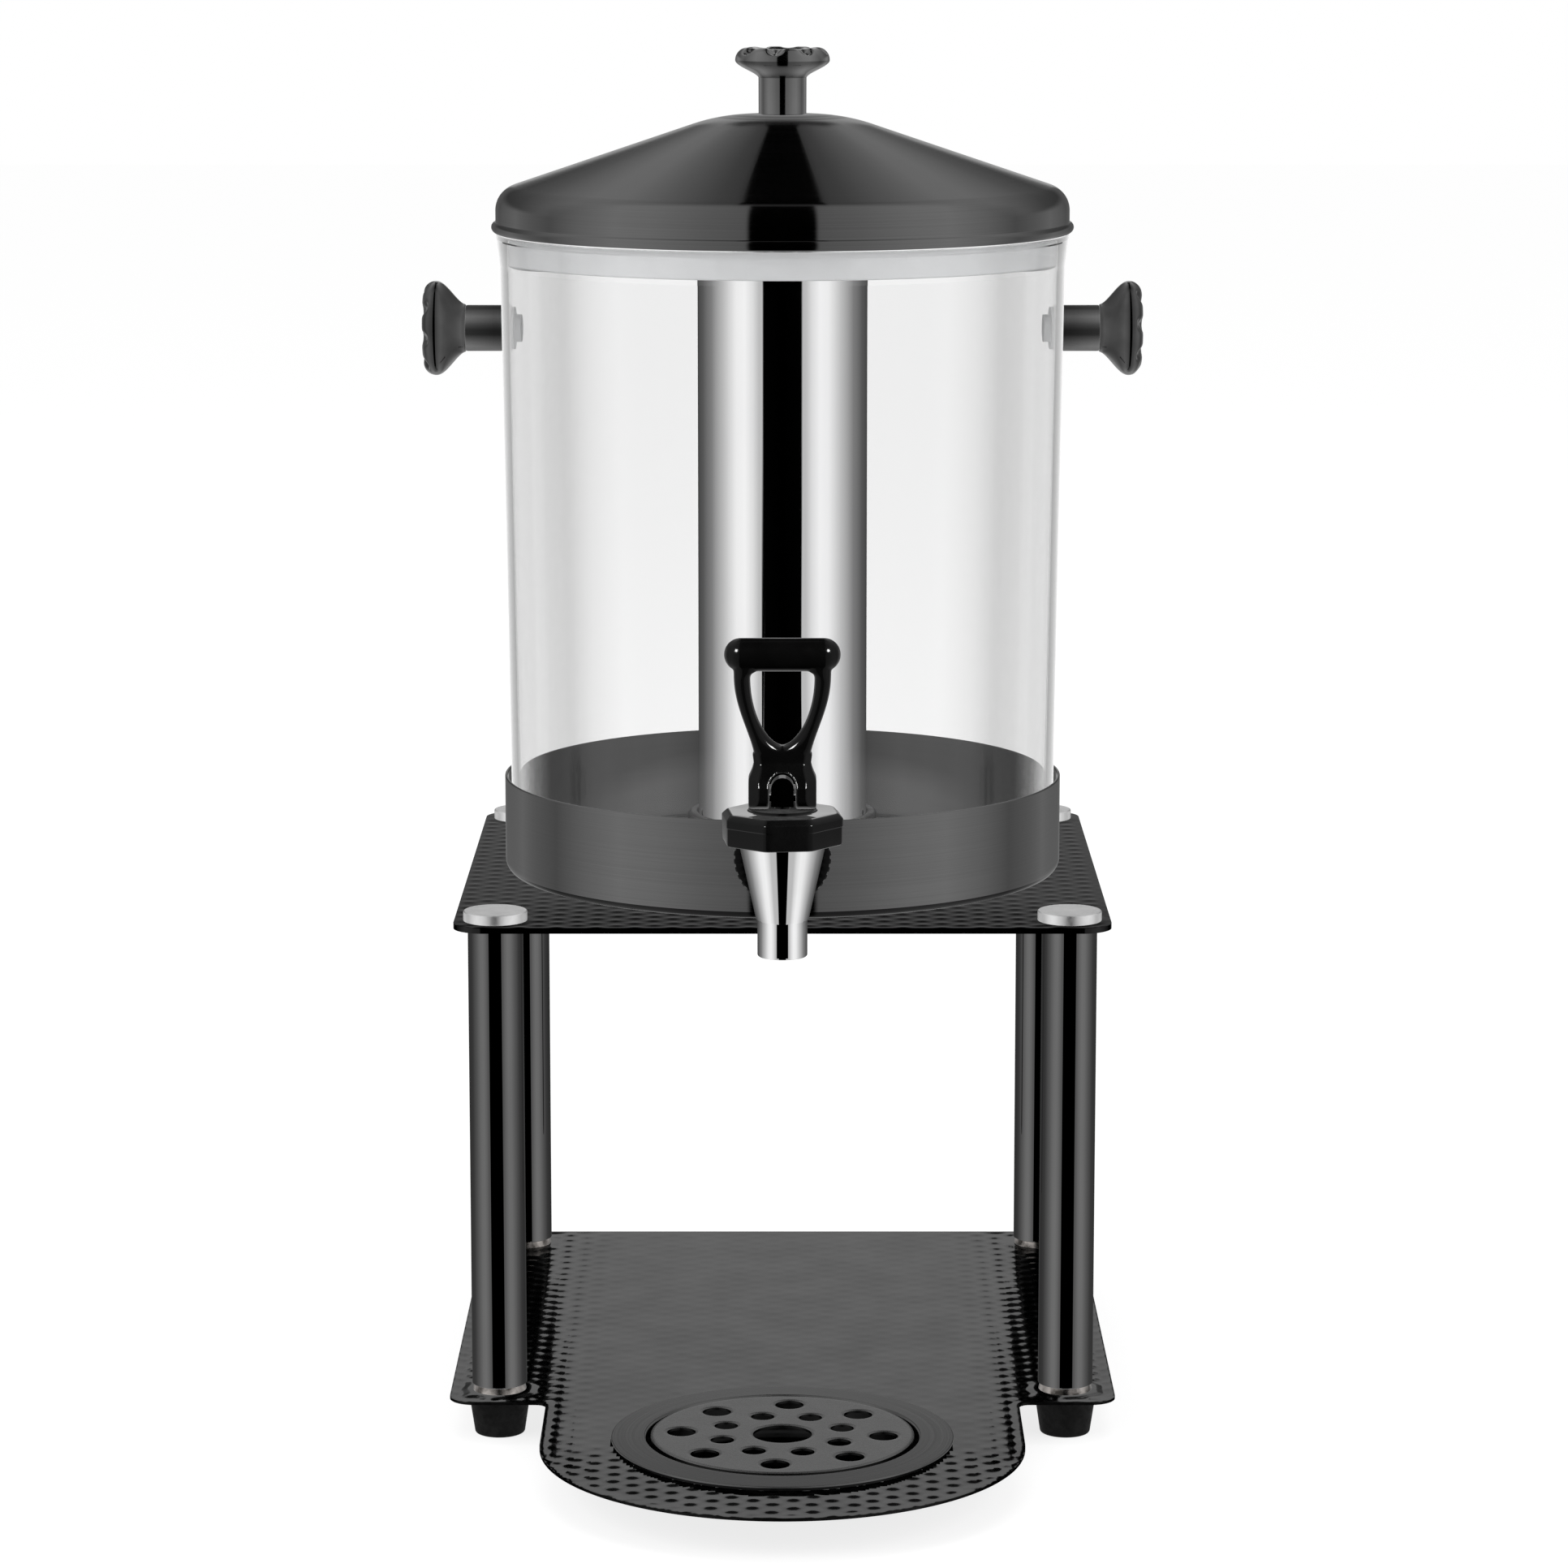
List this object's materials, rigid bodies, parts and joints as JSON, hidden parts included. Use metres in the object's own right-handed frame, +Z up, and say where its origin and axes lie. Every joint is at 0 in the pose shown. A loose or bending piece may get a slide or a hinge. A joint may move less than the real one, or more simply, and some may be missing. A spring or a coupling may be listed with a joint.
{
  "type": "juice dispenser",
  "caption": "Clear round juice tank with a conical steel lid and ice tube, in a black pan on a four-legged stand with a lever tap and a drip tray.",
  "frame": {"origin": "on the table, at the centre of the whole footprint", "axes": "+Z up; -Y towards the user, where the tap and the drip tray are; +X to the user's right"},
  "size_m": [0.2868, 0.406, 0.5355],
  "materials": {
    "black_hammered": "black stainless sheet with a hammered face",
    "black_mirror": "polished black stainless tube",
    "plain_steel": "plain stainless fasteners",
    "chrome": "bright chrome",
    "black_rubber": "matte black rubber",
    "black_tray": "satin black stainless",
    "grille_steel": "satin black stainless",
    "black_satin": "satin black stainless",
    "clear_plastic": "clear moulded plastic",
    "frosted_plastic": "translucent frosted plastic",
    "dark_plastic": "dark moulded plastic",
    "mirror_steel": "mirror-polished stainless",
    "black_gloss": "glossy black plastic",
    "white_silicone": "soft white silicone"
  },
  "bodies": {
    "stand": {"base_plate": "black_hammered", "top_plate": "black_hammered", "leg_front_left": "black_mirror", "leg_front_right": "black_mirror", "leg_rear_left": "black_mirror", "leg_rear_right": "black_mirror", "leg_top_inserts": "plain_steel", "leg_foot_inserts": "plain_steel", "cap_front_left": "chrome", "cap_front_right": "chrome", "cap_rear_left": "chrome", "cap_rear_right": "chrome", "foot_front_left": "black_rubber", "foot_front_right": "black_rubber", "foot_rear_left": "black_rubber", "foot_rear_right": "black_rubber", "foot_screws": "plain_steel"},
    "tray": {"drip_tray": "black_tray"},
    "grille": {"drip_grille": "grille_steel"},
    "tank": {"tank_pan": "black_satin", "container": "clear_plastic", "tube_socket": "dark_plastic", "socket_seal": "black_rubber", "handle_stalk_left": "black_satin", "handle_stalk_right": "black_satin", "handle_knob_left": "black_gloss", "handle_knob_right": "black_gloss", "handle_washers": "black_rubber", "handle_screws": "plain_steel", "tap_spout": "chrome", "tap_flange": "black_gloss", "tap_outer_gasket": "black_rubber", "tap_middle_gasket": "black_rubber", "tap_inner_gasket": "black_rubber", "tap_lock_nut": "plain_steel", "tap_bonnet": "black_gloss", "valve_spring": "plain_steel"},
    "tube": {"ice_tube": "mirror_steel"},
    "lid": {"lid_shell": "black_satin", "lid_seal": "frosted_plastic", "lid_knob": "black_gloss", "lid_knob_washer": "plain_steel", "lid_knob_screw": "plain_steel"},
    "valve": {"valve_stem": "black_gloss", "seat_cup": "white_silicone"},
    "lever": {"tap_lever": "black_gloss", "lever_pin": "plain_steel"}
  },
  "joints": [
    {"name": "tank_lift", "type": "slide", "parent": "stand", "child": "tank", "axis": [0, 0, 1], "range_m": [0, 0.06]},
    {"name": "lid_lift", "type": "slide", "parent": "tank", "child": "lid", "axis": [0, 0, 1], "range_m": [0, 0.06]},
    {"name": "tube_lift", "type": "slide", "parent": "tank", "child": "tube", "axis": [0, 0, 1], "range_m": [0, 0.045]},
    {"name": "tray_lift", "type": "slide", "parent": "stand", "child": "tray", "axis": [0, 0, 1], "range_m": [0, 0.03]},
    {"name": "grille_lift", "type": "slide", "parent": "tray", "child": "grille", "axis": [0, 0, 1], "range_m": [0, 0.02]},
    {"name": "stem_lift", "type": "slide", "parent": "tank", "child": "valve", "axis": [0, 0, 1], "range_m": [0, 0.0036], "stiffness_N_per_m": 120, "springref_m": -0.004, "deforming": ["valve_spring"]},
    {"name": "lever_tilt", "type": "hinge", "parent": "valve", "child": "lever", "pos_m": [0, -0.095, 0.266], "axis": [1, 0, 0], "range_deg": [0, 50]}
  ],
  "couplings": [
    {"joint": "stem_lift", "follows": "lever_tilt", "m_per_rad": 0.004}
  ]
}
